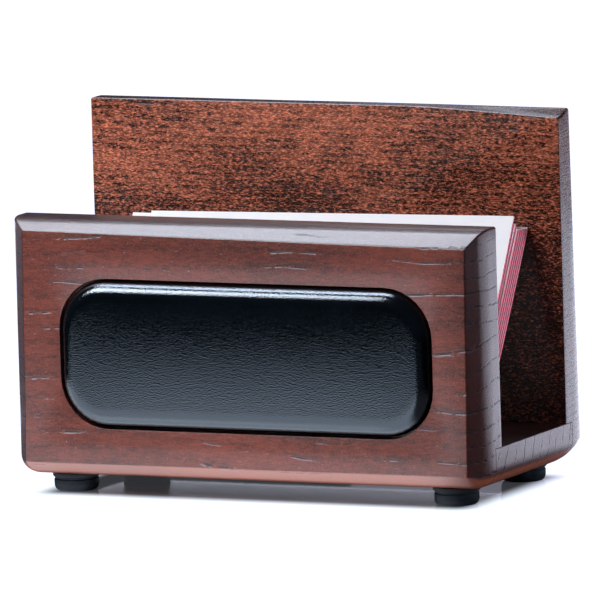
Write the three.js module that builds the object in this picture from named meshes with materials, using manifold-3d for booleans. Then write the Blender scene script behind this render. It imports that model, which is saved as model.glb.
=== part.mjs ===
// Desk holder for business cards. Two stained wooden walls stand on a base board, a padded
// leather panel is let into the front wall, four rubber bumpers carry the base, and a stack
// of cards leans back in the slot between the walls.
//
// Millimetres. +X to the right, +Y to the back, +Z up. The origin is on the surface that the
// holder stands on, under the middle of the whole outline, pad included. The walls and the
// base are drawn about the middle of the base, and the assembly is then moved as one.

import * as THREE from 'three';
import { mergeVertices } from 'three/addons/utils/BufferGeometryUtils.js';
import Module from 'manifold-3d';

// ---- driving dimensions ---------------------------------------------------------------

const WIDTH = 110;
const DEPTH = 55;
const FRONT_WALL_TOP = 59.4;
const REAR_WALL_TOP = 80;
const WALL = 10.5; // thickness of both walls
const BASE_THICKNESS = 8.5;
const RABBET = 3.2; // how far the base board is let into each wall
const GLUE_LINE = 0.05;

const BEVEL_IN_FACE = 3.7; // width of the bevel, measured in the wall's outer face
const BEVEL_IN_EDGE = 4; // the same, measured through the wall's thickness
const TOP_CORNER = 0.4; // radii of the walls' corners, seen from the front
const BOTTOM_CORNER = 4.5;

const DOWEL_DIAMETER = 4;
const DOWEL_IN_WALL = 4;
const DOWEL_IN_BASE = 12;
const DOWEL_SPACING = 60;
const DOWEL_CLEARANCE = 0.1;
const DOWEL_CHAMFER = 0.4;

const PAD_WIDTH = 86;
const PAD_HEIGHT = 31.5;
const PAD_CORNER = 10.5;
const PAD_DROP = 0.75; // the pad sits this much below the middle of the front wall,
const PAD_SHIFT = 0.7; // and this much to the right of it
const PAD_PROUD = 2;
const PAD_EDGE = 1.8; // radius of the pad's rounded edge
const RECESS_DEPTH = 2;
const RECESS_CLEARANCE = 0.35;
const LEATHER = 0.8;
const LEATHER_TURN_IN = 4; // width of the hem glued behind the backing board
const BACKING_BOARD = 1.2;
const LAYER_GAP = 0.05;
const LAYER_INSET = 0.15;

const FOOT_HEIGHT = 4;
const FOOT_DIAMETER = 9.6;
const FOOT_SOLE_DIAMETER = 7.4;
const FOOT_TAPER_HEIGHT = 1.5;
const FOOT_SHOULDER = 0.3;
const FOOT_TAPE_DIAMETER = 10.2;
const FOOT_TAPE = 0.9;
const FOOT_FROM_END = 10.5; // foot centre to the end of the base
const FOOT_FROM_FACE = 10; // foot centre to the outer face of the wall

const CARD_WIDTH = 90;
const FRONT_CARD_WIDTH = 85;
const CARD_HEIGHT = 50;
const CARD_THICKNESS = 0.38;
const CARD_GAP = 0.1;
const CARD_COUNT = 8;
const CARD_LEAN = 33.3; // degrees back from upright
const CARD_CLEARANCE = 0.15; // to the slot floor and the rear wall
const STACK_RIGHT_EDGE = 47.4; // right edge of the rearmost card
const CARD_FAN = 0.22; // each card lies this much to the left of the one behind it
const SECOND_CARD_SHIFT = 0.24; // the second card lies further left still,
const SECOND_CARD_LIFT = 1.25; // and stands a little proud of the stack
const FRONT_CARD_RIGHT = 46.1; // bottom right corner of the front card
const FRONT_CARD_LIFT = 1.9; // its bottom left corner, above where it would stand level
const FRONT_CARD_TURN = 0.85; // degrees, right end up

const ROUND_SEGMENTS = 40;
const CORNER_SEGMENTS = 8;
const EDGE_SEGMENTS = 4;

// ---- derived places -------------------------------------------------------------------

const SLOT_FLOOR = FOOT_HEIGHT + BASE_THICKNESS;
const OUTER_Y = DEPTH / 2;
const INNER_Y = OUTER_Y - WALL;
const BASE_END_Y = INNER_Y + RABBET;
const BEVEL_Y = OUTER_Y - BEVEL_IN_EDGE;
const FRONT = -1;
const REAR = 1;
const PAD_CENTRE_Z = (FOOT_HEIGHT + FRONT_WALL_TOP) / 2 - PAD_DROP;
const RECESS_FLOOR_Y = -OUTER_Y + RECESS_DEPTH;
const OVERCUT = 1; // how far a cutting shape runs past the face that it cuts

// ---- materials ------------------------------------------------------------------------

function finish(color, roughness) {
  return new THREE.MeshStandardMaterial({ color, roughness, metalness: 0 });
}

const stainedWood = finish(0x6b3a2c, 0.5);
const beech = finish(0xc9a27a, 0.7);
const leather = finish(0x14171c, 0.4);
const greyboard = finish(0x8a857c, 0.9);
const foam = finish(0x3a3a3c, 0.95);
const rubber = finish(0x1a1d20, 0.8);
const tape = finish(0x101214, 0.9);
const cardStock = finish(0xf1f1f5, 0.8);

// ---- joining and cutting --------------------------------------------------------------

const wasm = await Module();
wasm.setup();

function toSolid(geometry) {
  const bare = geometry.clone();
  bare.deleteAttribute('normal');
  bare.deleteAttribute('uv');
  const merged = mergeVertices(bare, 1e-5);
  const corners = merged.index.array;
  const triangles = [];
  for (let i = 0; i < corners.length; i += 3) {
    const [a, b, c] = corners.slice(i, i + 3);
    if (a !== b && b !== c && c !== a) {
      triangles.push(a, b, c);
    }
  }
  return new wasm.Manifold(new wasm.Mesh({
    numProp: 3,
    vertProperties: new Float32Array(merged.attributes.position.array),
    triVerts: new Uint32Array(triangles),
  }));
}

function toGeometry(solid) {
  const mesh = solid.getMesh();
  const geometry = new THREE.BufferGeometry();
  geometry.setAttribute('position', new THREE.BufferAttribute(mesh.vertProperties, 3));
  geometry.setIndex(new THREE.BufferAttribute(mesh.triVerts, 1));
  geometry.computeVertexNormals();
  return geometry;
}

function cut(body, ...tools) {
  return tools.reduce((left, tool) => left.subtract(toSolid(tool)), body);
}

// ---- extrusions along each axis -------------------------------------------------------

function extrude(shape, length) {
  return new THREE.ExtrudeGeometry(shape, {
    depth: length,
    bevelEnabled: false,
    curveSegments: CORNER_SEGMENTS,
  });
}

// A shape drawn in X and Z, standing between two depths.
function extrudeAlongY(shape, fromY, toY) {
  return extrude(shape, toY - fromY).rotateX(Math.PI / 2).translate(0, toY, 0);
}

// A shape drawn in Y and Z, as long as the holder is wide.
function extrudeAlongX(shape) {
  const turn = new THREE.Matrix4().makeBasis(
    new THREE.Vector3(0, 1, 0),
    new THREE.Vector3(0, 0, 1),
    new THREE.Vector3(1, 0, 0),
  );
  return extrude(shape, WIDTH).applyMatrix4(turn).translate(-WIDTH / 2, 0, 0);
}

function extrudeAlongZ(shape, fromZ, toZ) {
  return extrude(shape, toZ - fromZ).translate(0, 0, fromZ);
}

function block(low, high) {
  const size = high.map((end, axis) => end - low[axis]);
  const middle = high.map((end, axis) => (end + low[axis]) / 2);
  return new THREE.BoxGeometry(...size).translate(...middle);
}

function outline(points) {
  return new THREE.Shape(points.map(([x, y]) => new THREE.Vector2(x, y)));
}

// A rectangle with its own radius for the bottom and the top pair of corners.
function roundedRectangle(left, bottom, right, top, bottomRadius, topRadius) {
  const shape = new THREE.Shape();
  shape.moveTo(left + bottomRadius, bottom);
  shape.lineTo(right - bottomRadius, bottom);
  shape.absarc(right - bottomRadius, bottom + bottomRadius, bottomRadius, -Math.PI / 2, 0);
  shape.lineTo(right, top - topRadius);
  shape.absarc(right - topRadius, top - topRadius, topRadius, 0, Math.PI / 2);
  shape.lineTo(left + topRadius, top);
  shape.absarc(left + topRadius, top - topRadius, topRadius, Math.PI / 2, Math.PI);
  shape.lineTo(left, bottom + bottomRadius);
  shape.absarc(left + bottomRadius, bottom + bottomRadius, bottomRadius, Math.PI, 1.5 * Math.PI);
  return shape;
}

// ---- walls and base board -------------------------------------------------------------

// A board with rounded corners, and with a mitred bevel all round its outer face.
function wallBlank(side, top) {
  const [outer, crease, inner] = [side * OUTER_Y, side * BEVEL_Y, side * INNER_Y];
  const bottom = FOOT_HEIGHT;
  const half = WIDTH / 2;
  const [fromY, toY] = side === FRONT ? [outer, inner] : [inner, outer];
  const face = roundedRectangle(-half, bottom, half, top, BOTTOM_CORNER, TOP_CORNER);
  const profileFromEnd = outline([
    [inner, bottom],
    [crease, bottom],
    [outer, bottom + BEVEL_IN_FACE],
    [outer, top - BEVEL_IN_FACE],
    [crease, top],
    [inner, top],
  ]);
  const profileFromAbove = outline([
    [-half, inner],
    [-half, crease],
    [-half + BEVEL_IN_FACE, outer],
    [half - BEVEL_IN_FACE, outer],
    [half, crease],
    [half, inner],
  ]);
  return toSolid(extrudeAlongY(face, fromY, toY))
    .intersect(toSolid(extrudeAlongX(profileFromEnd)))
    .intersect(toSolid(extrudeAlongZ(profileFromAbove, bottom, top)));
}

function dowelHole(x, side) {
  const wallEnd = BASE_END_Y + DOWEL_IN_WALL + DOWEL_CLEARANCE;
  const baseEnd = BASE_END_Y - DOWEL_IN_BASE - DOWEL_CLEARANCE;
  const radius = DOWEL_DIAMETER / 2 + DOWEL_CLEARANCE;
  const hole = new THREE.CylinderGeometry(radius, radius, wallEnd - baseEnd, ROUND_SEGMENTS);
  return hole.translate(x, side * (wallEnd + baseEnd) / 2, FOOT_HEIGHT + BASE_THICKNESS / 2);
}

function dowelHoles(side) {
  return [-DOWEL_SPACING / 2, DOWEL_SPACING / 2].map((x) => dowelHole(x, side));
}

// The step at the foot of a wall that the base board's edge is glued into.
function rabbet(side) {
  const past = WIDTH / 2 + OVERCUT;
  const ys = [side * (BASE_END_Y + GLUE_LINE), side * (INNER_Y - OVERCUT)];
  return block(
    [-past, Math.min(...ys), FOOT_HEIGHT - OVERCUT],
    [past, Math.max(...ys), SLOT_FLOOR + GLUE_LINE],
  );
}

function padOutline(inset) {
  const halfWidth = PAD_WIDTH / 2 - inset;
  const halfHeight = PAD_HEIGHT / 2 - inset;
  const radius = PAD_CORNER - inset;
  return roundedRectangle(
    PAD_SHIFT - halfWidth,
    PAD_CENTRE_Z - halfHeight,
    PAD_SHIFT + halfWidth,
    PAD_CENTRE_Z + halfHeight,
    radius,
    radius,
  );
}

function frontWall() {
  const recess = extrudeAlongY(
    padOutline(-RECESS_CLEARANCE),
    -OUTER_Y - OVERCUT,
    RECESS_FLOOR_Y,
  );
  return cut(wallBlank(FRONT, FRONT_WALL_TOP), rabbet(FRONT), recess, ...dowelHoles(FRONT));
}

function rearWall() {
  return cut(wallBlank(REAR, REAR_WALL_TOP), rabbet(REAR), ...dowelHoles(REAR));
}

function baseBoard() {
  const half = WIDTH / 2;
  const end = roundedRectangle(-half, FOOT_HEIGHT, half, SLOT_FLOOR, BOTTOM_CORNER, GLUE_LINE);
  const board = toSolid(extrudeAlongY(end, -BASE_END_Y, BASE_END_Y));
  return cut(board, ...dowelHoles(FRONT), ...dowelHoles(REAR));
}

function dowel(x, side) {
  const radius = DOWEL_DIAMETER / 2;
  const half = (DOWEL_IN_WALL + DOWEL_IN_BASE) / 2;
  const profile = [
    [0, -half],
    [radius - DOWEL_CHAMFER, -half],
    [radius, -half + DOWEL_CHAMFER],
    [radius, half - DOWEL_CHAMFER],
    [radius - DOWEL_CHAMFER, half],
    [0, half],
  ];
  const points = profile.map(([r, y]) => new THREE.Vector2(r, y));
  const middleY = side * (BASE_END_Y + (DOWEL_IN_WALL - DOWEL_IN_BASE) / 2);
  return new THREE.LatheGeometry(points, ROUND_SEGMENTS)
    .translate(x, middleY, FOOT_HEIGHT + BASE_THICKNESS / 2);
}

// ---- padded leather panel -------------------------------------------------------------

// A slab whose front edge is rounded, from the recess floor to the pad's face.
function roundedPad(backY, faceY) {
  const straight = backY - faceY - PAD_EDGE + OVERCUT;
  const slab = new THREE.ExtrudeGeometry(padOutline(0), {
    depth: straight,
    bevelThickness: PAD_EDGE,
    bevelSize: PAD_EDGE,
    bevelOffset: -PAD_EDGE,
    bevelSegments: EDGE_SEGMENTS,
    curveSegments: CORNER_SEGMENTS,
  });
  slab.rotateX(Math.PI / 2).translate(0, faceY + PAD_EDGE + straight, 0);
  const behind = block([-WIDTH, backY, -WIDTH], [WIDTH, backY + WALL, WIDTH]);
  return cut(toSolid(slab), behind);
}

const HEM_Y = RECESS_FLOOR_Y - LAYER_GAP;
const BOARD_Y = HEM_Y - LEATHER - LAYER_GAP;
const FOAM_Y = BOARD_Y - BACKING_BOARD - LAYER_GAP;
const PAD_FACE_Y = -OUTER_Y - PAD_PROUD;

// The cover is wrapped over the foam and the board, and its hem is turned in behind them.
function leatherCover() {
  const filling = extrudeAlongY(padOutline(LEATHER), PAD_FACE_Y + LEATHER, HEM_Y - LEATHER);
  const hemOpening = extrudeAlongY(
    padOutline(LEATHER + LEATHER_TURN_IN),
    HEM_Y - LEATHER - OVERCUT,
    HEM_Y + OVERCUT,
  );
  return cut(roundedPad(HEM_Y, PAD_FACE_Y), filling, hemOpening);
}

function backingBoard() {
  return extrudeAlongY(padOutline(LEATHER + LAYER_INSET), BOARD_Y - BACKING_BOARD, BOARD_Y);
}

function foamLayer() {
  const faceY = PAD_FACE_Y + LEATHER + LAYER_GAP;
  return extrudeAlongY(padOutline(LEATHER + LAYER_INSET), faceY, FOAM_Y);
}

// ---- feet -----------------------------------------------------------------------------

function turned(path) {
  return new THREE.LatheGeometry(path.getPoints(EDGE_SEGMENTS), ROUND_SEGMENTS)
    .rotateX(Math.PI / 2);
}

function rubberFoot() {
  const top = FOOT_HEIGHT - FOOT_TAPE;
  const radius = FOOT_DIAMETER / 2;
  const profile = new THREE.Path();
  profile.moveTo(0, 0);
  profile.lineTo(FOOT_SOLE_DIAMETER / 2, 0);
  profile.quadraticCurveTo(radius, 0, radius, FOOT_TAPER_HEIGHT);
  profile.lineTo(radius, top - FOOT_SHOULDER);
  profile.lineTo(radius - FOOT_SHOULDER, top);
  profile.lineTo(0, top);
  return turned(profile);
}

function footTape() {
  const radius = FOOT_TAPE_DIAMETER / 2;
  const profile = new THREE.Path();
  profile.moveTo(0, FOOT_HEIGHT - FOOT_TAPE);
  profile.lineTo(radius, FOOT_HEIGHT - FOOT_TAPE);
  profile.lineTo(radius, FOOT_HEIGHT);
  profile.lineTo(0, FOOT_HEIGHT);
  return turned(profile);
}

// ---- assembly -------------------------------------------------------------------------

const holder = new THREE.Group();
holder.position.y = PAD_PROUD / 2;

function add(parent, name, shape, material) {
  const geometry = shape instanceof THREE.BufferGeometry ? shape : toGeometry(shape);
  const mesh = new THREE.Mesh(geometry, material);
  mesh.name = name;
  parent.add(mesh);
  return mesh;
}

add(holder, 'front_wall', frontWall(), stainedWood);
add(holder, 'rear_wall', rearWall(), stainedWood);
add(holder, 'base_board', baseBoard(), stainedWood);

const SIDES = [['front', FRONT], ['rear', REAR]];
const ENDS = [['left', -1], ['right', 1]];

for (const [sideName, side] of SIDES) {
  for (const [endName, end] of ENDS) {
    const place = `${sideName}_${endName}`;
    add(holder, `dowel_${place}`, dowel(end * DOWEL_SPACING / 2, side), beech);

    const foot = new THREE.Group();
    foot.position.set(end * (WIDTH / 2 - FOOT_FROM_END), side * (OUTER_Y - FOOT_FROM_FACE), 0);
    add(foot, `foot_${place}`, rubberFoot(), rubber);
    add(foot, `foot_tape_${place}`, footTape(), tape);
    holder.add(foot);
  }
}

add(holder, 'pad_leather_cover', leatherCover(), leather);
add(holder, 'pad_foam', foamLayer(), foam);
add(holder, 'pad_backing_board', backingBoard(), greyboard);

// The stack's own frame: X across, Z up along the cards, -Y from the rearmost card forwards.
// Its origin is the bottom rear edge of the rearmost card, whose top touches the rear wall.
const lean = THREE.MathUtils.degToRad(CARD_LEAN);
const stack = new THREE.Group();
stack.position.set(
  0,
  INNER_Y - CARD_CLEARANCE - CARD_HEIGHT * Math.sin(lean),
  SLOT_FLOOR + CARD_CLEARANCE,
);
stack.rotation.x = -lean;
holder.add(stack);

function card(width) {
  return new THREE.BoxGeometry(width, CARD_THICKNESS, CARD_HEIGHT)
    .translate(width / 2, -CARD_THICKNESS / 2, CARD_HEIGHT / 2);
}

// Cards are numbered from the front. Each stands on the slot floor, so a card that lies
// further forward also slides down along its own plane by forward * tan(lean).
function placeCard(number, width, right, lift) {
  const forward = (CARD_COUNT - number) * (CARD_THICKNESS + CARD_GAP);
  const piece = add(stack, `card_${number}`, card(width), cardStock);
  piece.position.set(right - width, -forward, lift - forward * Math.tan(lean));
  return piece;
}

for (let number = CARD_COUNT; number > 2; number -= 1) {
  placeCard(number, CARD_WIDTH, STACK_RIGHT_EDGE - (CARD_COUNT - number) * CARD_FAN, 0);
}

const secondRight = STACK_RIGHT_EDGE - (CARD_COUNT - 2) * CARD_FAN - SECOND_CARD_SHIFT;
placeCard(2, CARD_WIDTH, secondRight, SECOND_CARD_LIFT);

const frontCard = placeCard(1, FRONT_CARD_WIDTH, FRONT_CARD_RIGHT, FRONT_CARD_LIFT);
frontCard.rotation.y = -THREE.MathUtils.degToRad(FRONT_CARD_TURN);

export default holder;
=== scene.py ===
"""The looks of a desk holder for business cards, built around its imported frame.

The holder's lengths are written in millimetres and turned into metres where a mesh is made,
and its pieces are placed from the frame's own boxes. The studio's lengths are in metres. X
runs to the right, Y to the back and Z up.
"""

import math

import bmesh
import bpy
from mathutils import Matrix, Vector, noise


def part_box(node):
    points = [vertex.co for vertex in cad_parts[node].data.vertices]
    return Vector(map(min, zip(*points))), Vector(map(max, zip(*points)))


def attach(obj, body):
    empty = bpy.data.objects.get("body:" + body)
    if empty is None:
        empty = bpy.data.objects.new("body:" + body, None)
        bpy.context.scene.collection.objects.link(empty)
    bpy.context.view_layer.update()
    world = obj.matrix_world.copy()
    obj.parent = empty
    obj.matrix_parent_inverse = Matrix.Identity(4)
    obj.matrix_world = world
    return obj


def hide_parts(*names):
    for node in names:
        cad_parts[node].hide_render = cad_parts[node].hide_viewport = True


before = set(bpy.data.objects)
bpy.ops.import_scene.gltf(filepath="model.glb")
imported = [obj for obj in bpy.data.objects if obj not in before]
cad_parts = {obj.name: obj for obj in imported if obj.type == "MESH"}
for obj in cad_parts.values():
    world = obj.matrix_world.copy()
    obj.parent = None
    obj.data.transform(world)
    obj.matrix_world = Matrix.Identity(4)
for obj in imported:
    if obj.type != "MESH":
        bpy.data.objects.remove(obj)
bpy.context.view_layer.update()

MM = 0.001


def box_mm(node):
    """Lowest and highest corner of a CAD node, in millimetres."""
    low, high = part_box(node)
    return low / MM, high / MM


FRONT_LOW, FRONT_HIGH = box_mm("front_wall")
REAR_LOW, REAR_HIGH = box_mm("rear_wall")
BASE_LOW, BASE_HIGH = box_mm("base_board")
PAD_LOW, PAD_HIGH = box_mm("pad_leather_cover")

LEFT, RIGHT = FRONT_LOW.x, FRONT_HIGH.x
BOTTOM = FRONT_LOW.z
SLOT_FLOOR = BASE_HIGH.z

# ---------------------------------------------------------------- mesh building

CORNER_STEPS = 9
SIDE_STEPS = 22


def rounded_loop(quad, radii, y):
    """A closed loop at depth y round four corners (X, Z), which go bottom left, bottom
    right, top right, top left. Every loop has the same number of points."""
    points = []
    for i in range(4):
        here = Vector(quad[i])
        before = (Vector(quad[i - 1]) - here).normalized()
        after = (Vector(quad[(i + 1) % 4]) - here).normalized()
        centre = here + (before + after) * radii[i]
        for step in range(CORNER_STEPS):
            turn = math.pi / 2 * step / (CORNER_STEPS - 1)
            arc = centre - (after * math.cos(turn) + before * math.sin(turn)) * radii[i]
            points.append(arc)
        following = Vector(quad[(i + 1) % 4])
        back = (here - following).normalized()
        start = points[-1]
        end = following + back * radii[(i + 1) % 4]
        for step in range(1, SIDE_STEPS):
            points.append(start.lerp(end, step / SIDE_STEPS))
    return [Vector((p.x, y, p.y)) for p in points]


def inset_quad(quad, by):
    """The corners of quad, moved inwards by the same distance from all four sides."""
    signs = ((1, 1), (-1, 1), (-1, -1), (1, -1))
    return [(x + sx * by, z + sz * by) for (x, z), (sx, sz) in zip(quad, signs)]


def blend_quads(first, second, share):
    return [tuple(Vector(a).lerp(Vector(b), share)) for a, b in zip(first, second)]


def rectangle(left, bottom, right, top):
    return [(left, bottom), (right, bottom), (right, top), (left, top)]


def curve_between(start, control, end, steps):
    """Points on a quadratic curve, both ends included."""
    made = []
    for i in range(steps + 1):
        t = i / steps
        made.append(
            tuple(
                (1 - t) ** 2 * a + 2 * t * (1 - t) * c + t**2 * b
                for a, c, b in zip(start, control, end)
            )
        )
    return made


def new_object(name, mesh):
    made = bpy.data.objects.new(name, mesh)
    bpy.context.scene.collection.objects.link(made)
    return made


def mesh_from(name, bm, smooth_degrees=30):
    """A mesh object in metres from a bmesh drawn in millimetres."""
    bmesh.ops.recalc_face_normals(bm, faces=bm.faces)
    bmesh.ops.scale(bm, vec=(MM, MM, MM), verts=bm.verts)
    mesh = bpy.data.meshes.new(name)
    bm.to_mesh(mesh)
    bm.free()
    shade(mesh, smooth_degrees)
    return new_object(name, mesh)


def shade(mesh, smooth_degrees):
    mesh.polygons.foreach_set("use_smooth", [True] * len(mesh.polygons))
    mesh.set_sharp_from_angle(angle=math.radians(smooth_degrees))


def loft(loops, reshape=None):
    """A closed bmesh skinned over loops that all have the same number of points."""
    bm = bmesh.new()
    rows = []
    for loop in loops:
        if reshape is not None:
            loop = [reshape(p) for p in loop]
        rows.append([bm.verts.new(p) for p in loop])
    for first, second in zip(rows, rows[1:]):
        for i in range(len(first)):
            j = (i + 1) % len(first)
            bm.faces.new((first[i], first[j], second[j], second[i]))
    bm.faces.new(rows[0])
    bm.faces.new(list(reversed(rows[-1])))
    return bm


def cylinder_along_y(radius, from_y, to_y, x, z, segments=40):
    bm = bmesh.new()
    bmesh.ops.create_cone(
        bm,
        cap_ends=True,
        segments=segments,
        radius1=radius,
        radius2=radius,
        depth=to_y - from_y,
    )
    bmesh.ops.rotate(bm, matrix=Matrix.Rotation(math.pi / 2, 3, "X"), verts=bm.verts)
    bmesh.ops.translate(bm, vec=(x, (from_y + to_y) / 2, z), verts=bm.verts)
    return bm


def block(low, high):
    bm = bmesh.new()
    bmesh.ops.create_cube(bm, size=1)
    size = Vector(high) - Vector(low)
    bmesh.ops.scale(bm, vec=size, verts=bm.verts)
    bmesh.ops.translate(bm, vec=(Vector(high) + Vector(low)) / 2, verts=bm.verts)
    return bm


def cut(piece, cutters, smooth_degrees=30):
    """Takes each cutter, a bmesh in millimetres, out of piece."""
    for i, bm in enumerate(cutters):
        tool = mesh_from(f"cutter_{i}", bm)
        modifier = piece.modifiers.new("cut", "BOOLEAN")
        modifier.operation = "DIFFERENCE"
        modifier.solver = "EXACT"
        modifier.object = tool
        graph = bpy.context.evaluated_depsgraph_get()
        result = bpy.data.meshes.new_from_object(piece.evaluated_get(graph), depsgraph=graph)
        piece.modifiers.clear()
        piece.data = result
        bpy.data.objects.remove(tool)
    shade(piece.data, smooth_degrees)


def smoothstep(low, high, value):
    t = min(1.0, max(0.0, (value - low) / (high - low)))
    return t * t * (3 - 2 * t)


# ---------------------------------------------------------------- node helpers


class Nodes:
    """Builds one material's node tree."""

    def __init__(self, name):
        self.material = bpy.data.materials.new(name)
        self.material.use_nodes = True
        self.tree = self.material.node_tree
        self.shader = self.tree.nodes["Principled BSDF"]

    def add(self, kind, **settings):
        node = self.tree.nodes.new(kind)
        for key, value in settings.items():
            setattr(node, key, value)
        return node

    def put(self, socket, value):
        if isinstance(value, bpy.types.NodeSocket):
            self.tree.links.new(value, socket)
        elif value is not None:
            socket.default_value = value

    def position(self, stretch=(1, 1, 1), offset=(0, 0, 0)):
        """The place on the piece in millimetres, moved by offset, then stretched."""
        coordinates = self.add("ShaderNodeTexCoord")
        mapping = self.add("ShaderNodeMapping", vector_type="POINT")
        mapping.inputs["Scale"].default_value = [s / MM for s in stretch]
        mapping.inputs["Location"].default_value = [
            o * s for o, s in zip(offset, stretch)
        ]
        self.put(mapping.inputs["Vector"], coordinates.outputs["Object"])
        return mapping.outputs["Vector"]

    def math(self, operation, first, second=0.0, clamp=False):
        node = self.add("ShaderNodeMath", operation=operation, use_clamp=clamp)
        self.put(node.inputs[0], first)
        self.put(node.inputs[1], second)
        return node.outputs[0]

    def noise(self, vector, detail=2.0, roughness=0.5):
        node = self.add("ShaderNodeTexNoise", noise_dimensions="3D")
        self.put(node.inputs["Vector"], vector)
        node.inputs["Scale"].default_value = 1.0
        node.inputs["Detail"].default_value = detail
        node.inputs["Roughness"].default_value = roughness
        return node.outputs["Fac"]

    def voronoi(self, vector):
        node = self.add("ShaderNodeTexVoronoi")
        self.put(node.inputs["Vector"], vector)
        node.inputs["Scale"].default_value = 1.0
        return node.outputs["Distance"]

    def remap(self, value, low, high, to_low=0.0, to_high=1.0, smooth=True):
        node = self.add("ShaderNodeMapRange", clamp=True)
        node.interpolation_type = "SMOOTHSTEP" if smooth else "LINEAR"
        self.put(node.inputs["Value"], value)
        node.inputs["From Min"].default_value = low
        node.inputs["From Max"].default_value = high
        node.inputs["To Min"].default_value = to_low
        node.inputs["To Max"].default_value = to_high
        return node.outputs["Result"]

    def mix(self, share, first, second):
        node = self.add("ShaderNodeMix", data_type="RGBA")
        self.put(node.inputs[0], share)
        self.put(node.inputs[6], first)
        self.put(node.inputs[7], second)
        return node.outputs[2]

    def bump(self, height, distance_mm, strength=1.0, normal=None):
        node = self.add("ShaderNodeBump")
        node.inputs["Strength"].default_value = strength
        node.inputs["Distance"].default_value = distance_mm * MM
        self.put(node.inputs["Height"], height)
        self.put(node.inputs["Normal"], normal)
        return node.outputs["Normal"]

    def set(self, **values):
        names = {
            "color": "Base Color",
            "roughness": "Roughness",
            "normal": "Normal",
            "specular": "Specular IOR Level",
            "specular_tint": "Specular Tint",
            "coat": "Coat Weight",
            "coat_roughness": "Coat Roughness",
        }
        for key, value in values.items():
            self.put(self.shader.inputs[names[key]], value)
        return self.material


def rgb(red, green, blue):
    return (red, green, blue, 1.0)


# ---------------------------------------------------------------- materials


def growth_rings(n, pith, tilt, drift_mm, offset):
    """The distance of each place from the middle of the tree, in millimetres. The rings lie
    round a line near (Y, Z) that tilts a little along X, and they wander."""
    split = n.add("ShaderNodeSeparateXYZ")
    n.put(split.inputs[0], n.position(offset=offset))
    x, y, z = split.outputs
    slow = n.noise(n.position((0.013, 0.035, 0.035), offset), detail=2.0, roughness=0.45)
    quick = n.noise(n.position((0.11, 0.3, 0.3), offset), detail=2.0, roughness=0.6)
    from_y = n.math("ADD", y, n.math("MULTIPLY", x, tilt[0]))
    from_z = n.math("ADD", z, n.math("MULTIPLY", x, tilt[1]))
    from_y = n.math("SUBTRACT", from_y, pith[0])
    from_z = n.math("SUBTRACT", from_z, pith[1])
    squares = n.math("ADD", n.math("MULTIPLY", from_y, from_y), n.math("MULTIPLY", from_z, from_z))
    wander = n.math("MULTIPLY", n.math("SUBTRACT", slow, 0.5), drift_mm)
    wander = n.math("ADD", wander, n.math("MULTIPLY", n.math("SUBTRACT", quick, 0.5), 1.1))
    return n.math("ADD", n.math("SQRT", squares), wander)


PLAIN_FIGURE = {
    "tilt": (0.02, 0.02),  # how the middle of the tree leans along X, in Y and in Z
    "drift": 9.0,  # how far the rings wander
    "grain_along": 2.2,  # the grain noise's frequency along X: a low one makes long flecks
    "grain_span": (0.43, 0.64),  # the grain noise from all dark to all light
    "speckle": 0.5,  # the shares of the tone that come from the grain,
    "fibre": 0.3,  # the fibres
    "blotch": 0.3,  # and the broad clouds
    "line": 0.2,  # how much each row's band darkens the tone,
    "sink": 0.0,  # and how much painted shade darkens the tone low down on the piece
    "row_share": 0.55,  # a higher one shows fewer rows of pores
    "end_rows": 0.8,  # how plainly the rows show where they are cut across
    "row_bump": 1.0,
    "pale": 0.5,  # how pale each row's lower lip is, partly pale residue and partly painted highlight
    "specular": 0.5,
    "smooth": 0.27,  # the least roughness
}
PORE_COLOUR = rgb(0.008, 0.004, 0.004)
# the pale lip colour: partly pale residue in the pores, partly painted highlight
LIP_RESIDUE_AND_GLINT_COLOUR = rgb(0.4, 0.32, 0.4)
# darker on faces turned to the ends; on faces turned upwards this is painted shade
END_DARK_AND_TOP_SHADE_COLOUR = rgb(0.012, 0.006, 0.009)
END_DARK_AND_TOP_SHADE_SHARE = 0.78
# painted light from below on faces turned down
UNDERSIDE_PAINTED_LIGHT_COLOUR = rgb(0.55, 0.15, 0.075)
# painted shade: the tone drops between these heights, low down on the piece
PAINTED_SHADE_FROM_Z, PAINTED_SHADE_TO_Z = 68.0, 52.0
LIP_AT, BAND_AT = -0.27, 0.35  # their distances from the middle of a row of pores


def pore_rows(n, look, radius, ring_gap, cut_across, offset):
    """One row of open pores to each ring, long cells along X that come and go. Gives the
    pores, the pale lip on one side of them and the darker band on the other. The pale lip is
    partly pale residue in the pores and partly painted highlight."""
    phase = n.math("FRACT", n.math("DIVIDE", radius, ring_gap))
    from_row = n.math("MULTIPLY", n.math("SUBTRACT", phase, 0.5), ring_gap)
    stretches = n.noise(n.position((0.06, 0.22, 0.22), offset), detail=2.0, roughness=0.5)
    stretches = n.remap(stretches, look["row_share"], look["row_share"] + 0.06)
    breaks = n.noise(n.position((0.55, 0.8, 0.8), offset), detail=2.0, roughness=0.6)
    shown = n.math("MAXIMUM", stretches, n.math("MULTIPLY", cut_across, look["end_rows"]))
    shown = n.math("MULTIPLY", shown, n.remap(breaks, 0.42, 0.52))
    row = n.remap(n.math("ABSOLUTE", from_row), 0.3, 0.08)
    lip = n.remap(n.math("ABSOLUTE", n.math("SUBTRACT", from_row, LIP_AT)), 0.17, 0.03)
    band = n.remap(n.math("ABSOLUTE", n.math("SUBTRACT", from_row, BAND_AT)), 1.0, 0.2)
    band = n.math("MULTIPLY", band, n.remap(breaks, 0.36, 0.56))
    return n.math("MULTIPLY", row, shown), n.math("MULTIPLY", lip, shown), band


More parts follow.
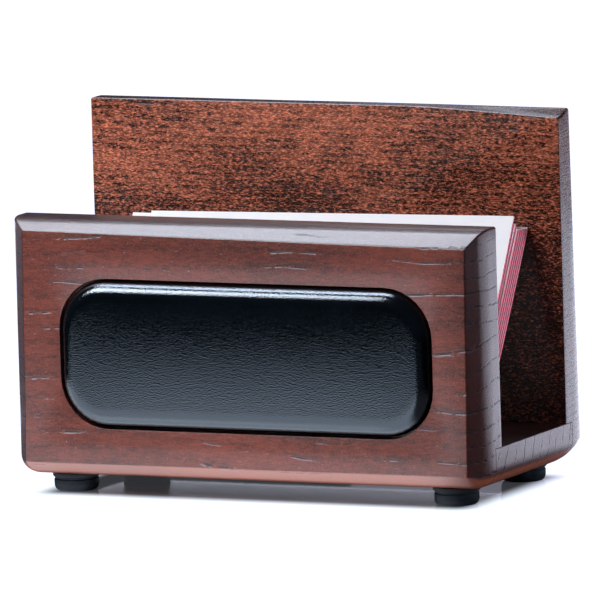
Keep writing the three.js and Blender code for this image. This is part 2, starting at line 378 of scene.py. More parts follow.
def wood_tone(n, look, grain, fibre, band, offset):
    """How light the wood is, from 0 to 1, before pores and stain, with painted shade low down on the
    piece.
    """
    blotch = n.noise(n.position((0.04, 0.09, 0.09), offset), detail=3.0)
    speckle = n.remap(grain, *look["grain_span"], smooth=False)
    tone = n.math("MULTIPLY", speckle, look["speckle"])
    tone = n.math("ADD", tone, n.math("MULTIPLY", n.remap(fibre, 0.34, 0.66), look["fibre"]))
    tone = n.math("ADD", tone, n.math("MULTIPLY", n.remap(blotch, 0.3, 0.7), look["blotch"]))
    tone = n.math("SUBTRACT", tone, n.math("MULTIPLY", band, look["line"]))
    # painted shade low down on the piece
    place = n.add("ShaderNodeSeparateXYZ")
    n.put(place.inputs[0], n.position())
    low_down = n.remap(place.outputs[2], PAINTED_SHADE_FROM_Z, PAINTED_SHADE_TO_Z)
    return n.math("SUBTRACT", tone, n.math("MULTIPLY", low_down, look["sink"]), clamp=True)


def stained_wood(name, pith, ring_gap, dark, light, offset, **figure):
    """Open-pored wood, stained and lacquered. The figure is solid, so it runs on from each
    face over the bevels to the end grain, and where a bevel or an end cuts the rows of pores
    across, more of them show. Faces turned to the ends are darker. Faces turned upwards are
    darker too, as painted shade, and faces turned down are lighter and more orange, as
    painted light from below. Those tones are guesses: stain and wear, or only the light."""
    n = Nodes(name)
    look = {**PLAIN_FIGURE, **figure}
    facing = n.add("ShaderNodeSeparateXYZ")
    n.put(facing.inputs[0], n.add("ShaderNodeTexCoord").outputs["Normal"])
    cut_across = n.remap(n.math("ABSOLUTE", facing.outputs[0]), 0.3, 0.65)
    radius = growth_rings(n, pith, look["tilt"], look["drift"], offset)
    pores, lip, band = pore_rows(n, look, radius, ring_gap, cut_across, offset)

    fibre = n.noise(n.position((0.5, 2.2, 2.2), offset), detail=3.0, roughness=0.6)
    grain = n.noise(n.position((look["grain_along"], 3.4, 3.4), offset), detail=3.0, roughness=0.8)
    # painted highlight: sparse glints painted into the colour
    glints = n.noise(n.position((0.9, 3.0, 3.0), (offset[0] + 7, 3, 5)), detail=1.0)
    glints = n.remap(glints, 0.74, 0.78)

    colour = n.mix(wood_tone(n, look, grain, fibre, band, offset), dark, light)
    colour = n.mix(n.math("MULTIPLY", pores, 0.75), colour, PORE_COLOUR)
    # the pale lips, partly residue and partly painted highlight, and the painted glints
    pale = n.math("MAXIMUM", n.math("MULTIPLY", lip, look["pale"]), n.math("MULTIPLY", glints, 0.4))
    colour = n.mix(pale, colour, LIP_RESIDUE_AND_GLINT_COLOUR)
    # painted shade on faces turned upwards, and darker on faces turned to the ends
    painted_top_shade = n.remap(facing.outputs[2], 0.25, 0.5)
    darker = n.math("MULTIPLY", n.math("MAXIMUM", cut_across, painted_top_shade), END_DARK_AND_TOP_SHADE_SHARE)
    colour = n.mix(darker, colour, END_DARK_AND_TOP_SHADE_COLOUR)
    # painted light from below: faces turned down are lighter and more orange
    painted_floor_light = n.remap(facing.outputs[2], -0.3, -0.6, 0.0, 0.5)
    colour = n.mix(painted_floor_light, colour, UNDERSIDE_PAINTED_LIGHT_COLOUR)

    height = n.math("MULTIPLY", pores, -look["row_bump"])
    height = n.math("ADD", height, n.math("MULTIPLY", fibre, 0.25))
    height = n.math("ADD", height, n.math("MULTIPLY", grain, 0.55))
    waves = n.noise(n.position((0.05, 0.16, 0.16), offset), detail=1.0)
    normal = n.bump(waves, 0.25, 0.5)
    normal = n.bump(height, 0.16, 0.9, normal)
    rough = n.math("ADD", look["smooth"], n.math("MULTIPLY", grain, 0.14))
    rough = n.math("ADD", rough, n.math("MULTIPLY", pores, 0.2))
    return n.set(
        color=colour,
        roughness=rough,
        normal=normal,
        specular=look["specular"],
        coat=0.3,
        coat_roughness=0.16,
    )


def black_leather():
    """Smooth black leather with a fine pebble grain and creases."""
    n = Nodes("black_leather")
    pebbles = n.voronoi(n.position((3.2, 3.2, 3.8)))
    creases = n.noise(n.position((2.2, 2.2, 3.6)), detail=4.0, roughness=0.7)
    cloud = n.noise(n.position((0.09, 0.09, 0.09)), detail=3.0)
    height = n.math("ADD", pebbles, n.math("MULTIPLY", creases, 0.3))
    colour = n.mix(n.remap(cloud, 0.35, 0.65), rgb(0.0012, 0.003, 0.005), rgb(0.0025, 0.005, 0.008))
    colour = n.mix(n.remap(pebbles, 0.45, 0.8), colour, rgb(0.001, 0.002, 0.003))
    rough = n.math("ADD", 0.07, n.math("MULTIPLY", creases, 0.1))
    return n.set(
        color=colour,
        roughness=rough,
        normal=n.bump(height, 0.05, 0.38),
        specular=0.75,
        specular_tint=rgb(0.76, 0.88, 1.0),
    )


def leather_back():
    """The flesh side of the leather, on the turned-in hem."""
    n = Nodes("leather_flesh_side")
    nap = n.noise(n.position((3, 3, 3)), detail=5.0, roughness=0.7)
    colour = n.mix(n.remap(nap, 0.35, 0.65), rgb(0.03, 0.03, 0.033), rgb(0.07, 0.068, 0.066))
    return n.set(color=colour, roughness=0.9, normal=n.bump(nap, 0.12, 0.8))


def black_rubber():
    """Dull black rubber, a little cloudy."""
    n = Nodes("black_rubber")
    fine = n.noise(n.position((3, 3, 3)), detail=4.0, roughness=0.6)
    cloud = n.noise(n.position((0.35, 0.35, 0.9)), detail=2.0)
    colour = n.mix(n.remap(cloud, 0.3, 0.7), rgb(0.005, 0.008, 0.012), rgb(0.014, 0.02, 0.028))
    rough = n.math("ADD", 0.45, n.math("MULTIPLY", fine, 0.2))
    return n.set(color=colour, roughness=rough, normal=n.bump(fine, 0.05, 0.5), specular=0.2)


def foam_tape():
    """Black foam tape with small cells."""
    n = Nodes("foam_tape")
    cells = n.voronoi(n.position((5, 5, 5)))
    colour = n.mix(n.remap(cells, 0.2, 0.6), rgb(0.004, 0.005, 0.006), rgb(0.016, 0.018, 0.022))
    return n.set(color=colour, roughness=0.85, normal=n.bump(cells, 0.08, 0.7))


def pad_foam():
    """Grey polyurethane foam."""
    n = Nodes("pad_foam")
    cells = n.voronoi(n.position((2.6, 2.6, 2.6)))
    colour = n.mix(n.remap(cells, 0.15, 0.6), rgb(0.07, 0.07, 0.075), rgb(0.2, 0.2, 0.21))
    return n.set(color=colour, roughness=0.95, normal=n.bump(cells, 0.2, 0.8))


def greyboard():
    """Pressed board with short fibres."""
    n = Nodes("greyboard")
    fibres = n.noise(n.position((0.8, 3, 2.2)), detail=5.0, roughness=0.7)
    colour = n.mix(n.remap(fibres, 0.35, 0.65), rgb(0.3, 0.28, 0.24), rgb(0.5, 0.47, 0.42))
    return n.set(color=colour, roughness=0.9, normal=n.bump(fibres, 0.05, 0.6))


def dowel_beech():
    """Plain beech, its grain along the dowel, with the short dark rays of that wood."""
    n = Nodes("dowel_beech")
    grain = n.noise(n.position((3.2, 0.25, 3.2)), detail=4.0, roughness=0.6)
    rays = n.remap(n.noise(n.position((5, 0.9, 5)), detail=1.0), 0.62, 0.7)
    colour = n.mix(n.remap(grain, 0.3, 0.7), rgb(0.5, 0.31, 0.17), rgb(0.68, 0.47, 0.29))
    colour = n.mix(n.math("MULTIPLY", rays, 0.6), colour, rgb(0.3, 0.16, 0.08))
    return n.set(color=colour, roughness=0.7, normal=n.bump(grain, 0.05, 0.5))


def card_paper():
    """White coated card with a barely visible tooth."""
    n = Nodes("card_paper")
    tooth = n.noise(n.position((4, 4, 4)), detail=4.0, roughness=0.6)
    cloud = n.noise(n.position((0.3, 0.3, 0.3)), detail=3.0)
    colour = n.mix(n.remap(cloud, 0.3, 0.7), rgb(0.86, 0.87, 0.92), rgb(0.9, 0.9, 0.94))
    rough = n.math("ADD", 0.5, n.math("MULTIPLY", tooth, 0.1))
    return n.set(color=colour, roughness=rough, normal=n.bump(tooth, 0.01, 0.4))


def card_edge():
    """The coral colour of the cards' edges, a little uneven."""
    n = Nodes("card_edge")
    wear = n.noise(n.position((1.6, 1.6, 1.6)), detail=4.0, roughness=0.65)
    colour = n.mix(n.remap(wear, 0.35, 0.7), rgb(0.9, 0.2, 0.3), rgb(0.95, 0.36, 0.48))
    return n.set(color=colour, roughness=0.65, normal=n.bump(wear, 0.02, 0.4))


# ---------------------------------------------------------------- wooden pieces

BEVEL_THROUGH = 4.0  # how far the bevel reaches into a wall's thickness
BOTTOM_CORNER = 4.5
TOP_CORNER = 0.4
EASED_EDGE = 0.3  # the small round on every edge that isn't bevelled
SOFTENED = 3.0  # how far sanding has rounded the bevel into the ends and the top,
SOFTENED_SHARE = 0.38  # and how much of the bevel it has taken
CREASE_SHARE = 0.07
DOWEL_HOLE = 2.1  # radius
DOWEL_SPACING = 60
HOLE_IN_WALL = 4.1
HOLE_IN_BASE = 12.1
OVERCUT = 2  # how far a cutter sticks out of the piece that it cuts
DOWEL_Z = (BOTTOM + SLOT_FLOOR) / 2
GLUE_LINE = 0.05


def wall_loops(outline, crease, outer_y, inner_y):
    """Loops from a wall's inner face, over its ends and the bevel, to the outer face."""
    towards = 1 if inner_y > outer_y else -1
    radii = (BOTTOM_CORNER, BOTTOM_CORNER, TOP_CORNER, TOP_CORNER)
    bevel_y = outer_y + towards * BEVEL_THROUGH
    loops = []

    def add(quad, y, share=0.0):
        keep = max(0.0, 1 - share)
        loops.append(rounded_loop(quad, [r * keep + 0.12 for r in radii], y))

    eased = curve_between((EASED_EDGE, 0), (0, 0), (0, EASED_EDGE), 3)
    for inwards, along in eased:
        add(inset_quad(outline, inwards), inner_y - towards * along)
    flat_from = inner_y - towards * EASED_EDGE
    flat_to = bevel_y + towards * SOFTENED
    for share in (0.33, 0.67):
        add(outline, flat_from + (flat_to - flat_from) * share)
    soft_end = (SOFTENED_SHARE, -SOFTENED_SHARE * BEVEL_THROUGH)
    for share, along in curve_between((0, SOFTENED), (0, 0), soft_end, 10):
        add(blend_quads(outline, crease, share), bevel_y + towards * along, share)
    for share in (0.55, 0.7, 0.82):
        add(blend_quads(outline, crease, share), bevel_y - towards * share * BEVEL_THROUGH, share)
    first = (1 - CREASE_SHARE, CREASE_SHARE * BEVEL_THROUGH)
    for share, along in curve_between(first, (1, 0), (1 + CREASE_SHARE, 0), 3):
        add(blend_quads(outline, crease, share), outer_y + towards * along, share)
    return loops


WAVINESS = 0.05
WAVE_SEED = 1
noise.seed_set(WAVE_SEED)  # without it, noise_vector differs from run to run


def hand_finish(p):
    """A slight waviness. It moves points inwards along X and down along Z only, so the ends
    and the tops stay inside their packed boxes."""
    wave = noise.noise_vector(Vector((p.x * 0.05, p.y * 0.2, p.z * 0.12)))
    towards_middle = -1 if p.x > 0 else 1
    return p + Vector((abs(wave.x) * towards_middle, 0, -abs(wave.z))) * WAVINESS


def lift_rear_corner(p):
    """The bottom corners at the back are rounder than those at the front."""
    behind = max(0.0, p.y - (REAR_LOW.y - 1.0))
    near_end = smoothstep(RIGHT - 7, RIGHT, abs(p.x))
    near_bottom = 1 - smoothstep(BOTTOM, BOTTOM + 6, p.z)
    return p + Vector((0, 0, behind**2 / 46 * near_end * near_bottom))


WEDGE_FROM_X = 22.0
WEDGE_DROP = 1.75
SHALLOWER = 1.9  # how much less the rear bevel reaches into the wall at its foot


def rear_wall_shape(p):
    """Towards the right the front edge of the rear wall's top drops, and the rear edge
    stays. The rear bevel reaches less far into the wall the nearer it is to the foot."""
    near_top = smoothstep(REAR_HIGH.z - 9, REAR_HIGH.z - 2, p.z)
    along = max(0.0, p.x - WEDGE_FROM_X) / (RIGHT - WEDGE_FROM_X)
    to_front = 1 - smoothstep(REAR_LOW.y + 2, REAR_LOW.y + 8, p.y + 1.5)
    drop = WEDGE_DROP * along**1.1 * near_top * to_front
    to_foot = (REAR_HIGH.z - p.z) / (REAR_HIGH.z - BOTTOM)
    from_crease = abs(p.y - (REAR_HIGH.y - BEVEL_THROUGH)) / BEVEL_THROUGH
    back = SHALLOWER * to_foot * max(0.0, 1 - from_crease)
    return lift_rear_corner(hand_finish(p + Vector((0, back, -drop))))


def dowel_cutters(front_y, rear_y):
    return [
        cylinder_along_y(DOWEL_HOLE, front_y, rear_y, x, DOWEL_Z)
        for x in (-DOWEL_SPACING / 2, DOWEL_SPACING / 2)
    ]


def finish_piece(piece, body, slot, materials, *nodes):
    for material in materials:
        piece.data.materials.append(material)
    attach(piece, body)
    if nodes:
        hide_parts(*nodes)
    return piece


def pad_quad(inset=0.0):
    return rectangle(
        PAD_LOW.x + inset,
        PAD_LOW.z + inset,
        PAD_HIGH.x - inset,
        PAD_HIGH.z - inset,
    )


PAD_CORNER = 10.5
RECESS_CLEARANCE = 0.35
RECESS_DEPTH = 2.0


def make_front_wall(material):
    outline = rectangle(LEFT, BOTTOM, RIGHT, FRONT_HIGH.z)
    crease = [
        (LEFT + 3.5, BOTTOM + 3.1),
        (RIGHT - 3.5, BOTTOM + 3.3),
        (RIGHT - 2.9, FRONT_HIGH.z - 3.7),
        (LEFT + 4.2, FRONT_HIGH.z - 2.4),
    ]
    loops = wall_loops(outline, crease, FRONT_LOW.y, FRONT_HIGH.y)
    edge = pad_quad(-RECESS_CLEARANCE)
    corner = [PAD_CORNER + RECESS_CLEARANCE] * 4
    loops.append(rounded_loop(inset_quad(edge, -0.25), [c + 0.25 for c in corner], FRONT_LOW.y))
    loops.append(rounded_loop(inset_quad(edge, -0.07), [c + 0.07 for c in corner], FRONT_LOW.y + 0.07))
    loops.append(rounded_loop(edge, corner, FRONT_LOW.y + 0.25))
    loops.append(rounded_loop(edge, corner, FRONT_LOW.y + RECESS_DEPTH))
    wall = mesh_from("front_wall_board", loft(loops, hand_finish))
    step = block(
        (LEFT - OVERCUT, BASE_LOW.y - GLUE_LINE, BOTTOM - OVERCUT),
        (RIGHT + OVERCUT, FRONT_HIGH.y + OVERCUT, SLOT_FLOOR + GLUE_LINE),
    )
    cut(wall, [step, *dowel_cutters(BASE_LOW.y - HOLE_IN_WALL, FRONT_HIGH.y + OVERCUT)])
    return finish_piece(wall, "holder", "stained_wood", [material], "front_wall")


def make_rear_wall(material):
    outline = rectangle(LEFT, BOTTOM, RIGHT, REAR_HIGH.z)
    crease = inset_quad(outline, 3.4)
    loops = wall_loops(outline, crease, REAR_HIGH.y, REAR_LOW.y)
    wall = mesh_from("rear_wall_board", loft(loops, rear_wall_shape))
    step = block(
        (LEFT - OVERCUT, REAR_LOW.y - OVERCUT, BOTTOM - OVERCUT),
        (RIGHT + OVERCUT, BASE_HIGH.y + GLUE_LINE, SLOT_FLOOR + GLUE_LINE),
    )
    cut(wall, [step, *dowel_cutters(REAR_LOW.y - OVERCUT, BASE_HIGH.y + HOLE_IN_WALL)])
    return finish_piece(wall, "holder", "stained_wood", [material], "rear_wall")


def make_base_board(material):
    """The base's front and rear edges are eased a little, so the joints show at its ends."""
    quad = rectangle(LEFT, BOTTOM, RIGHT, SLOT_FLOOR)
    radii = (BOTTOM_CORNER + 0.12, BOTTOM_CORNER + 0.12, 0.12, 0.12)
    hair = 0.1
    length = BASE_HIGH.y - BASE_LOW.y
    loops = [rounded_loop(inset_quad(quad, hair), radii, BASE_LOW.y)]
    for i in range(17):
        share = i / 16
        y = BASE_LOW.y + hair + (length - 2 * hair) * share
        loops.append(rounded_loop(quad, radii, y))
    loops.append(rounded_loop(inset_quad(quad, hair), radii, BASE_HIGH.y))

    def shape(p):
        return lift_rear_corner(hand_finish(p))

    board = mesh_from("base_board_plank", loft(loops, shape))
    holes = dowel_cutters(BASE_LOW.y - OVERCUT, BASE_LOW.y + HOLE_IN_BASE)
    holes += dowel_cutters(BASE_HIGH.y - HOLE_IN_BASE, BASE_HIGH.y + OVERCUT)
    cut(board, holes)
    return finish_piece(board, "holder", "stained_wood", [material], "base_board")


# ---------------------------------------------------------------- padded leather panel

LEATHER = 0.8
HEM = 4.0
PAD_EDGE_ROUND = 3.2
LINING_ROUND = 1.9  # the same edge on the leather's inner side
FOAM_INSET = 1.7
FOAM_ROUND = 0.5
PAD_CROWN = 0.3
PAD_MIDDLE = (PAD_LOW + PAD_HIGH) / 2


def crowned(p, low_y, inset):
    """Pulls a point of the pad's face back towards the wall, the more the nearer it is to
    the pad's edge, so that the face is a shallow dome and steepest at the edge."""
    half_width = (PAD_HIGH.x - PAD_LOW.x) / 2 - inset
    half_height = (PAD_HIGH.z - PAD_LOW.z) / 2 - inset
    across = min(1.0, abs(p.x - PAD_MIDDLE.x) / half_width)
    up = min(1.0, abs(p.z - PAD_MIDDLE.z) / half_height)
    dome = (1 - across**4) * (1 - up**2)
    return Vector((p.x, low_y + PAD_CROWN * (1 - dome), p.z))


def dome_loops(face_y, inset, edge_round, rings=9):
    """Loops over a domed face, from its rim to a small loop at the middle."""
    loops = []
    start = inset + edge_round
    furthest = (PAD_HIGH.z - PAD_LOW.z) / 2 - 0.8
    for i in range(rings + 1):
        share = i / rings
        here = start + (furthest - start) * share
        radius = max(0.4, PAD_CORNER - here)
        loop = rounded_loop(pad_quad(here), [radius] * 4, face_y)
        loops.append([crowned(p, face_y, inset) for p in loop])
    return loops


def edge_loops(face_y, inset, edge_round, to_y, steps=7):
    """Loops round the pad's rim, from its side at to_y to where the domed face starts."""
    rim_y = face_y + PAD_CROWN
    loops = []
    loops.append(rounded_loop(pad_quad(inset), [PAD_CORNER - inset] * 4, to_y))
    for i in range(steps):
        turn = math.pi / 2 * i / steps
        inwards = inset + edge_round * (1 - math.cos(turn))
        flat = rounded_loop(pad_quad(inwards), [PAD_CORNER - inwards] * 4, rim_y)
        sunk = edge_round * (1 - math.sin(turn))
        loops.append([Vector((p.x, crowned(p, face_y, inset).y + sunk, p.z)) for p in flat])
    return loops


def make_leather_cover(face_material, back_material):
    """A shell of leather over the foam, with its hem turned in behind the backing board."""
    hem_y = PAD_HIGH.y
    outside = edge_loops(PAD_LOW.y, 0, PAD_EDGE_ROUND, hem_y - 0.3)
    outside += dome_loops(PAD_LOW.y, 0, PAD_EDGE_ROUND)
    inside = edge_loops(PAD_LOW.y + LEATHER, LEATHER, LINING_ROUND, hem_y - LEATHER)
    inside += dome_loops(PAD_LOW.y + LEATHER, LEATHER, LINING_ROUND)
    radius = PAD_CORNER - LEATHER - HEM
    opening = pad_quad(LEATHER + HEM)
    loops = list(reversed(outside))
    loops.append(rounded_loop(pad_quad(0.3), [PAD_CORNER - 0.3] * 4, hem_y))
    loops.append(rounded_loop(opening, [radius] * 4, hem_y))
    loops.append(rounded_loop(opening, [radius] * 4, hem_y - LEATHER))
    loops += inside
    cover = mesh_from("leather_pad_cover", loft(loops), 50)
    finish_piece(
        cover,
        "holder",
        "black_leather",
        [face_material, back_material],
        "pad_leather_cover",
    )
    for face in cover.data.polygons:
        face.material_index = 1 if face.center.y / MM > hem_y - 0.1 else 0
    return cover


def make_foam(material):
    _, high = box_mm("pad_foam")
    face = PAD_LOW.y + LEATHER + 0.1
    loops = [rounded_loop(pad_quad(FOAM_INSET + 0.2), [PAD_CORNER - FOAM_INSET] * 4, high.y)]
    loops += edge_loops(face, FOAM_INSET, FOAM_ROUND, high.y - 0.1)
    loops += dome_loops(face, FOAM_INSET, FOAM_ROUND)
    foam = mesh_from("pad_foam_layer", loft(loops), 50)
    finish_piece(foam, "holder", "pad_foam", [material], "pad_foam")
    return foam


# ---------------------------------------------------------------- feet


def lathe(name, profile, centre, segments=64, smooth_degrees=35):
    """A turned piece about a vertical line, from (radius, z) points that start and end on
    the line."""
    bm = bmesh.new()
    rows = []
    for radius, z in profile:
        if radius == 0:
            rows.append([bm.verts.new((centre[0], centre[1], z))])
            continue
        row = []
        for i in range(segments):
            turn = 2 * math.pi * i / segments
            x = centre[0] + radius * math.cos(turn)
            y = centre[1] + radius * math.sin(turn)
            row.append(bm.verts.new((x, y, z)))
        rows.append(row)
    for first, second in zip(rows, rows[1:]):
        for i in range(segments):
            j = (i + 1) % segments
            if len(first) == 1:
                bm.faces.new((first[0], second[j], second[i]))
            elif len(second) == 1:
                bm.faces.new((first[i], first[j], second[0]))
            else:
                bm.faces.new((first[i], first[j], second[j], second[i]))
    return mesh_from(name, bm, smooth_degrees)


def make_foot(place, material):
    node = f"foot_{place}"
    low, high = box_mm(node)
    centre = ((low.x + high.x) / 2, (low.y + high.y) / 2)
    radius = (high.x - low.x) / 2
    sole = radius - 1.1
    profile = [(0, low.z + 0.15), (sole - 1.2, low.z + 0.15), (sole - 0.9, low.z)]
    profile += curve_between((sole - 0.1, low.z), (radius - 0.1, low.z), (radius, low.z + 1.5), 7)
    profile += curve_between(
        (radius, high.z - 0.75), (radius, high.z - 0.55), (radius - 0.22, high.z - 0.5), 3
    )
    profile += curve_between(
        (radius - 0.22, high.z - 0.4), (radius - 0.02, high.z - 0.3), (radius - 0.15, high.z), 3
    )
    profile.append((0, high.z))
    foot = lathe(f"rubber_foot_{place}", profile, centre)
    return finish_piece(foot, "holder", "black_rubber", [material], node)


def make_tape(place, material):
    node = f"foot_tape_{place}"
    low, high = box_mm(node)
    centre = ((low.x + high.x) / 2, (low.y + high.y) / 2)
    radius = (high.x - low.x) / 2
    middle = (low.z + high.z) / 2
    profile = [(0, low.z)]
    profile += curve_between((radius - 0.2, low.z), (radius, low.z), (radius - 0.04, middle), 4)
    profile += curve_between(
        (radius - 0.04, middle), (radius, high.z), (radius - 0.2, high.z), 4
    )[1:]
    profile.append((0, high.z))
    tape = lathe(f"tape_disc_{place}", profile, centre)
    return finish_piece(tape, "holder", "foam_tape", [material], node)


# ---------------------------------------------------------------- cards

CARD_COUNT = 8
CARD_SAG = 0.35  # how far the middle of a leaning card hangs behind its straight plane
INK_BLEED = 0.05  # how far the edge colour runs onto a card's faces at its ends
CARD_COLUMNS = 16
CARD_ROWS = 10


def card_edges(node):
    """The lowest corner of a card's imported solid, and the vectors from it along the card's
    thickness, its height and its width."""
    corners = {tuple(round(c, 4) for c in v.co / MM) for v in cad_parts[node].data.vertices}
    start = Vector(min(corners, key=lambda c: c[2]))
    ways = sorted((Vector(c) - start for c in corners), key=lambda way: way.length)
    through = ways[1]
    up = min(ways[2:4], key=lambda way: abs(way.dot(through)))
    across = min(ways[4:6], key=lambda way: abs(way.dot(through)) + abs(way.dot(up)))
    return start, through, up, across


def make_card(number, paper, edge):
    """A thin sheet with coloured edges, which sags a little between its foot and its top."""
    node = f"card_{number}"
    start, through, up, across = card_edges(node)
    back = Vector((0, 1, 0)) - up.normalized() * up.normalized().y
    back.normalize()
    bleed = INK_BLEED / across.length
    widths = [0, bleed, *(i / CARD_COLUMNS for i in range(1, CARD_COLUMNS)), 1 - bleed, 1]
    heights = [j / CARD_ROWS for j in range(CARD_ROWS + 1)]
    bm = bmesh.new()

    def sheet(depth):
        rows = []
        for v in heights:
            sag = back * CARD_SAG * math.sin(math.pi * v)
            row = [start + across * u + up * v + through * depth + sag for u in widths]
            rows.append([bm.verts.new(place) for place in row])
        return rows

    near, far = sheet(0), sheet(1)
    last_column, last_row = len(widths) - 1, len(heights) - 1
    for side in (near, far):
        for j in range(last_row):
            for i in range(last_column):
                corners = (side[j][i], side[j][i + 1], side[j + 1][i + 1], side[j + 1][i])
                face = bm.faces.new(corners)
                face.material_index = 1 if i in (0, last_column - 1) else 0
    rim = [(i, 0) for i in range(last_column)]
    rim += [(last_column, j) for j in range(last_row)]
    rim += [(i, last_row) for i in range(last_column, 0, -1)]
    rim += [(0, j) for j in range(last_row, 0, -1)]
    for (i, j), (k, m) in zip(rim, rim[1:] + rim[:1]):
        face = bm.faces.new((near[j][i], near[m][k], far[m][k], far[j][i]))
        face.material_index = 0 if j == m == last_row else 1
    card = mesh_from(f"business_card_{number}", bm, 20)
    body = "front_card" if number == 1 else "card_stack"
    return finish_piece(card, body, "card_stock", [paper, edge], node)


# ---------------------------------------------------------------- carried-over nodes


def dress_node(node, material):
    """A CAD node whose shape is right stays, and only gets its finish."""
    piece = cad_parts[node]
    piece.data.materials.clear()
    piece.data.materials.append(material)


# ---------------------------------------------------------------- studio

AZIMUTH = 24.8
ELEVATION = 7.7
ROLL = -1.66
CAMERA_DISTANCE = 3.0
VIEW_WIDTH = 0.128
LOOK_AT = (1.4, 0.6, 39.9)


def make_camera():
    camera = bpy.data.objects.new("camera", bpy.data.cameras.new("camera"))
    bpy.context.scene.collection.objects.link(camera)
    azimuth, elevation = math.radians(AZIMUTH), math.radians(ELEVATION)
    back = Vector(
        (
            math.sin(azimuth) * math.cos(elevation),
            -math.cos(azimuth) * math.cos(elevation),
            math.sin(elevation),
        )
    )
    camera.location = Vector(LOOK_AT) * MM + back * CAMERA_DISTANCE
    turn = (-back).to_track_quat("-Z", "Y").to_matrix()
    camera.rotation_euler = (turn @ Matrix.Rotation(math.radians(ROLL), 3, "Z")).to_euler()
    camera.data.sensor_width = 36
    camera.data.lens = 36 * CAMERA_DISTANCE / VIEW_WIDTH
    camera.data.clip_start = 0.05
    camera.data.clip_end = 20
    bpy.context.scene.camera = camera


def area_light(name, location, target, size, power, colour=(1, 1, 1)):
    light = bpy.data.lights.new(name, "AREA")
    light.shape = "RECTANGLE"
    light.size, light.size_y = size
    light.energy = power
    light.color = colour
    made = new_object(name, light)
    made.location = location
    aim = Vector(target) - Vector(location)
    made.rotation_euler = aim.to_track_quat("-Z", "Y").to_euler()
    return made


def plane(name, centre, across, up, material):
    """A flat rectangle about centre, from its two half-sides."""
    bm = bmesh.new()
    centre, across, up = Vector(centre), Vector(across), Vector(up)
    corners = [centre - across - up, centre + across - up, centre + across + up, centre - across + up]
    bm.faces.new([bm.verts.new(c) for c in corners])
    mesh = bpy.data.meshes.new(name)
    bm.to_mesh(mesh)
    bm.free()
    mesh.materials.append(material)
    made = new_object(name, mesh)
    return made


def glowing(name, colour, strength):
    n = Nodes(name)
    n.shader.inputs["Base Color"].default_value = rgb(0, 0, 0)
    n.shader.inputs["Emission Color"].default_value = rgb(*colour)
    n.shader.inputs["Emission Strength"].default_value = strength
    n.shader.inputs["Specular IOR Level"].default_value = 0
    return n.material


def only_in_reflections(piece):
    piece.visible_camera = False
    piece.visible_diffuse = False
    piece.visible_shadow = False
    piece.visible_transmission = False


FLOOR_SEEN = 1.25  # how strongly the floor glows to the camera,
UNDER_HOLDER = 1.22  # and how much of that is taken away under the holder, as a painted shadow
DIFFUSE_SHARE = 0.6


def make_floor():
    """A glowing sheet that isn't the same to every ray. The camera sees it white, with a
    soft dark patch over the holder's footprint, drawn here and not cast as a shadow. Glossy
    rays, and diffuse rays more weakly, see it glow before, behind and beside the holder."""
    n = Nodes("studio_floor")
    split = n.add("ShaderNodeSeparateXYZ")
    n.put(split.inputs[0], n.add("ShaderNodeNewGeometry").outputs["Position"])
    x, y, _ = split.outputs
    aside = n.math("ABSOLUTE", x)
    ray = n.add("ShaderNodeLightPath")

    # painted shadow over the holder's footprint, seen by the camera
    inside = n.math("MULTIPLY", n.remap(y, -0.028, -0.02), n.remap(y, 0.03, 0.022))
    inside = n.math("MULTIPLY", inside, n.remap(aside, 0.054, 0.046))
    seen = n.math("SUBTRACT", FLOOR_SEEN, n.math("MULTIPLY", inside, UNDER_HOLDER))

    front = n.math("MULTIPLY", n.remap(y, -0.185, -0.15), n.remap(y, -0.018, -0.024))
    front = n.math("MULTIPLY", front, n.remap(x, -0.18, -0.14, 0.0, 2.4))
    front = n.math("MULTIPLY", front, n.remap(x, 0.052, 0.04))
    behind = n.remap(y, 0.03, 0.06, 0.0, 2.8)
    beside = n.math("MULTIPLY", n.remap(x, 0.056, 0.075, 0.0, 1.8), n.remap(y, 0.01, 0.022))
    shine = n.math("MAXIMUM", n.math("MAXIMUM", front, behind), beside)

    glow = n.math("MULTIPLY", ray.outputs["Is Camera Ray"], seen)
    glow = n.math("ADD", glow, n.math("MULTIPLY", ray.outputs["Is Glossy Ray"], shine))
    diffuse = n.math("MULTIPLY", ray.outputs["Is Diffuse Ray"], shine)
    glow = n.math("ADD", glow, n.math("MULTIPLY", diffuse, DIFFUSE_SHARE))
    n.set(color=rgb(0.25, 0.25, 0.28), roughness=0.05, specular=0.5)
    tint = n.mix(n.remap(y, -0.01, 0.02), rgb(0.82, 0.9, 1.0), rgb(0.8, 0.83, 1.0))
    n.put(n.shader.inputs["Emission Color"], tint)
    n.put(n.shader.inputs["Emission Strength"], glow)
    plane("floor", (0, 0, 0), (6, 0, 0), (0, 6, 0), n.material)


def make_flags():
    """Panels that only show as reflections: black ones lying on the floor at the front and
    at both sides, a long dim one and a small brighter one standing behind, and a bright one
    overhead."""
    black = glowing("black_flag", (0, 0, 0), 0.0)
    lying = 0.0005
    panels = [
        plane("front_flag", (0, -1.18, lying), (2, 0, 0), (0, 1, 0), black),
        plane("right_flag", (1.13, -0.1, lying), (1, 0, 0), (0, 0.1, 0), black),
        plane("left_flag", (-1.15, 0.03, lying), (1, 0, 0), (0, 0.2, 0), black),
    ]
    white = glowing("rear_panel", (0.8, 0.78, 1.0), 0.3)
    panels.append(plane("rear_panel", (0.42, 0.42, 0.1), (0.6, 0, 0), (0, 0, 0.1), white))
    strip = glowing("rear_strip", (0.85, 0.87, 1.0), 2.5)
    panels.append(plane("rear_strip", (-0.17, 0.5, 0.37), (0.08, 0, 0), (0, 0, 0.08), strip))
    bright = glowing("top_panel", (0.82, 0.87, 1.0), 15.0)
    panels.append(plane("top_panel", (-0.26, 0.02, 0.66), (0.2, 0, 0), (0, 0.2, 0), bright))
    for panel in panels:
        only_in_reflections(panel)


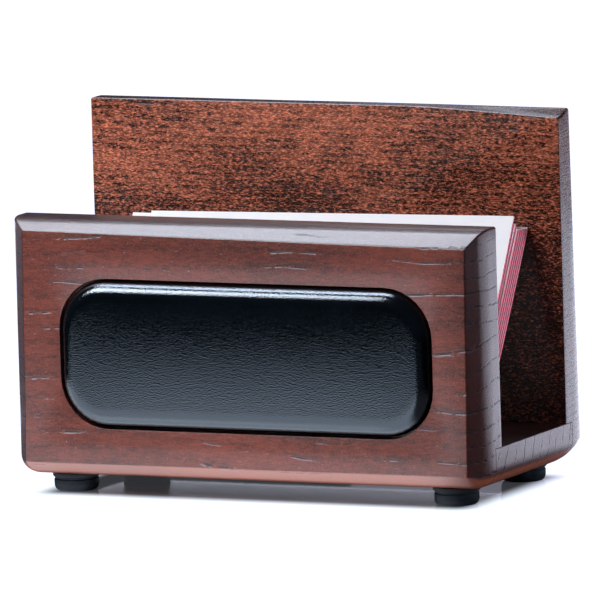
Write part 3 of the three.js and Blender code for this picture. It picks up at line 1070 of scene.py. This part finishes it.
def make_world():
    """White to the camera, and a dim room to everything else."""
    world = bpy.data.worlds.new("studio")
    bpy.context.scene.world = world
    world.use_nodes = True
    tree = world.node_tree
    room = tree.nodes["Background"]
    room.inputs["Color"].default_value = rgb(0.8, 0.85, 1.0)
    room.inputs["Strength"].default_value = 0.035
    white = tree.nodes.new("ShaderNodeBackground")
    white.inputs["Strength"].default_value = 1.2
    seen = tree.nodes.new("ShaderNodeLightPath")
    mix = tree.nodes.new("ShaderNodeMixShader")
    tree.links.new(seen.outputs["Is Camera Ray"], mix.inputs[0])
    tree.links.new(room.outputs[0], mix.inputs[1])
    tree.links.new(white.outputs[0], mix.inputs[2])
    tree.links.new(mix.outputs[0], tree.nodes["World Output"].inputs["Surface"])


def make_studio():
    make_floor()
    make_flags()
    make_world()
    area_light(
        "front_softbox",
        location=(-0.38, -0.42, 0.5),
        target=(0, 0, 0.05),
        size=(0.3, 0.3),
        power=5.6,
        colour=(0.96, 0.97, 1),
    )
    right_light = area_light(
        "right_light",
        location=(0.5, 0.11, 0.06),
        target=(0.04, 0.02, 0.03),
        size=(0.16, 0.16),
        power=1.5,
    )
    right_light.visible_glossy = False
    bpy.context.scene.view_settings.view_transform = "Standard"


# ---------------------------------------------------------------- the holder

make_camera()
make_studio()

DARK_STAIN = rgb(0.04, 0.007, 0.004)
LIGHT_STAIN = rgb(0.27, 0.048, 0.024)

front_wood = stained_wood(
    "front_wall_wood",
    pith=(-3.0, -80.0),
    ring_gap=3.6,
    dark=DARK_STAIN,
    light=LIGHT_STAIN,
    offset=(13, 0, 0),
    drift=14.0,
    pale=0.5,
)
rear_wood = stained_wood(
    "rear_wall_wood",
    pith=(40.0, -160.0),
    ring_gap=1.55,
    dark=rgb(0.022, 0.005, 0.003),
    light=rgb(0.98, 0.28, 0.15),
    offset=(200, 0, 0),
    drift=5.0,
    grain_along=1.1,
    grain_span=(0.49, 0.68),
    # painted shade low down on the rear wall
    sink=0.2,
    speckle=0.95,
    line=0.22,
    fibre=0.14,
    blotch=0.26,
    specular=0.38,
    smooth=0.2,
    pale=0.2,
    row_share=0.68,
    row_bump=0.4,
    end_rows=0.4,
)
base_wood = stained_wood(
    "base_board_wood",
    pith=(-60.0, 30.0),
    ring_gap=4.0,
    dark=DARK_STAIN,
    light=LIGHT_STAIN,
    offset=(-90, 0, 0),
)
make_front_wall(front_wood)
make_rear_wall(rear_wood)
make_base_board(base_wood)

make_leather_cover(black_leather(), leather_back())
make_foam(pad_foam())
dress_node("pad_backing_board", greyboard())

beech = dowel_beech()
rubber = black_rubber()
tape = foam_tape()
for side in ("front", "rear"):
    for end in ("left", "right"):
        place = f"{side}_{end}"
        dress_node(f"dowel_{place}", beech)
        make_foot(place, rubber)
        make_tape(place, tape)

paper = card_paper()
coral = card_edge()
for number in range(1, CARD_COUNT + 1):
    make_card(number, paper, coral)
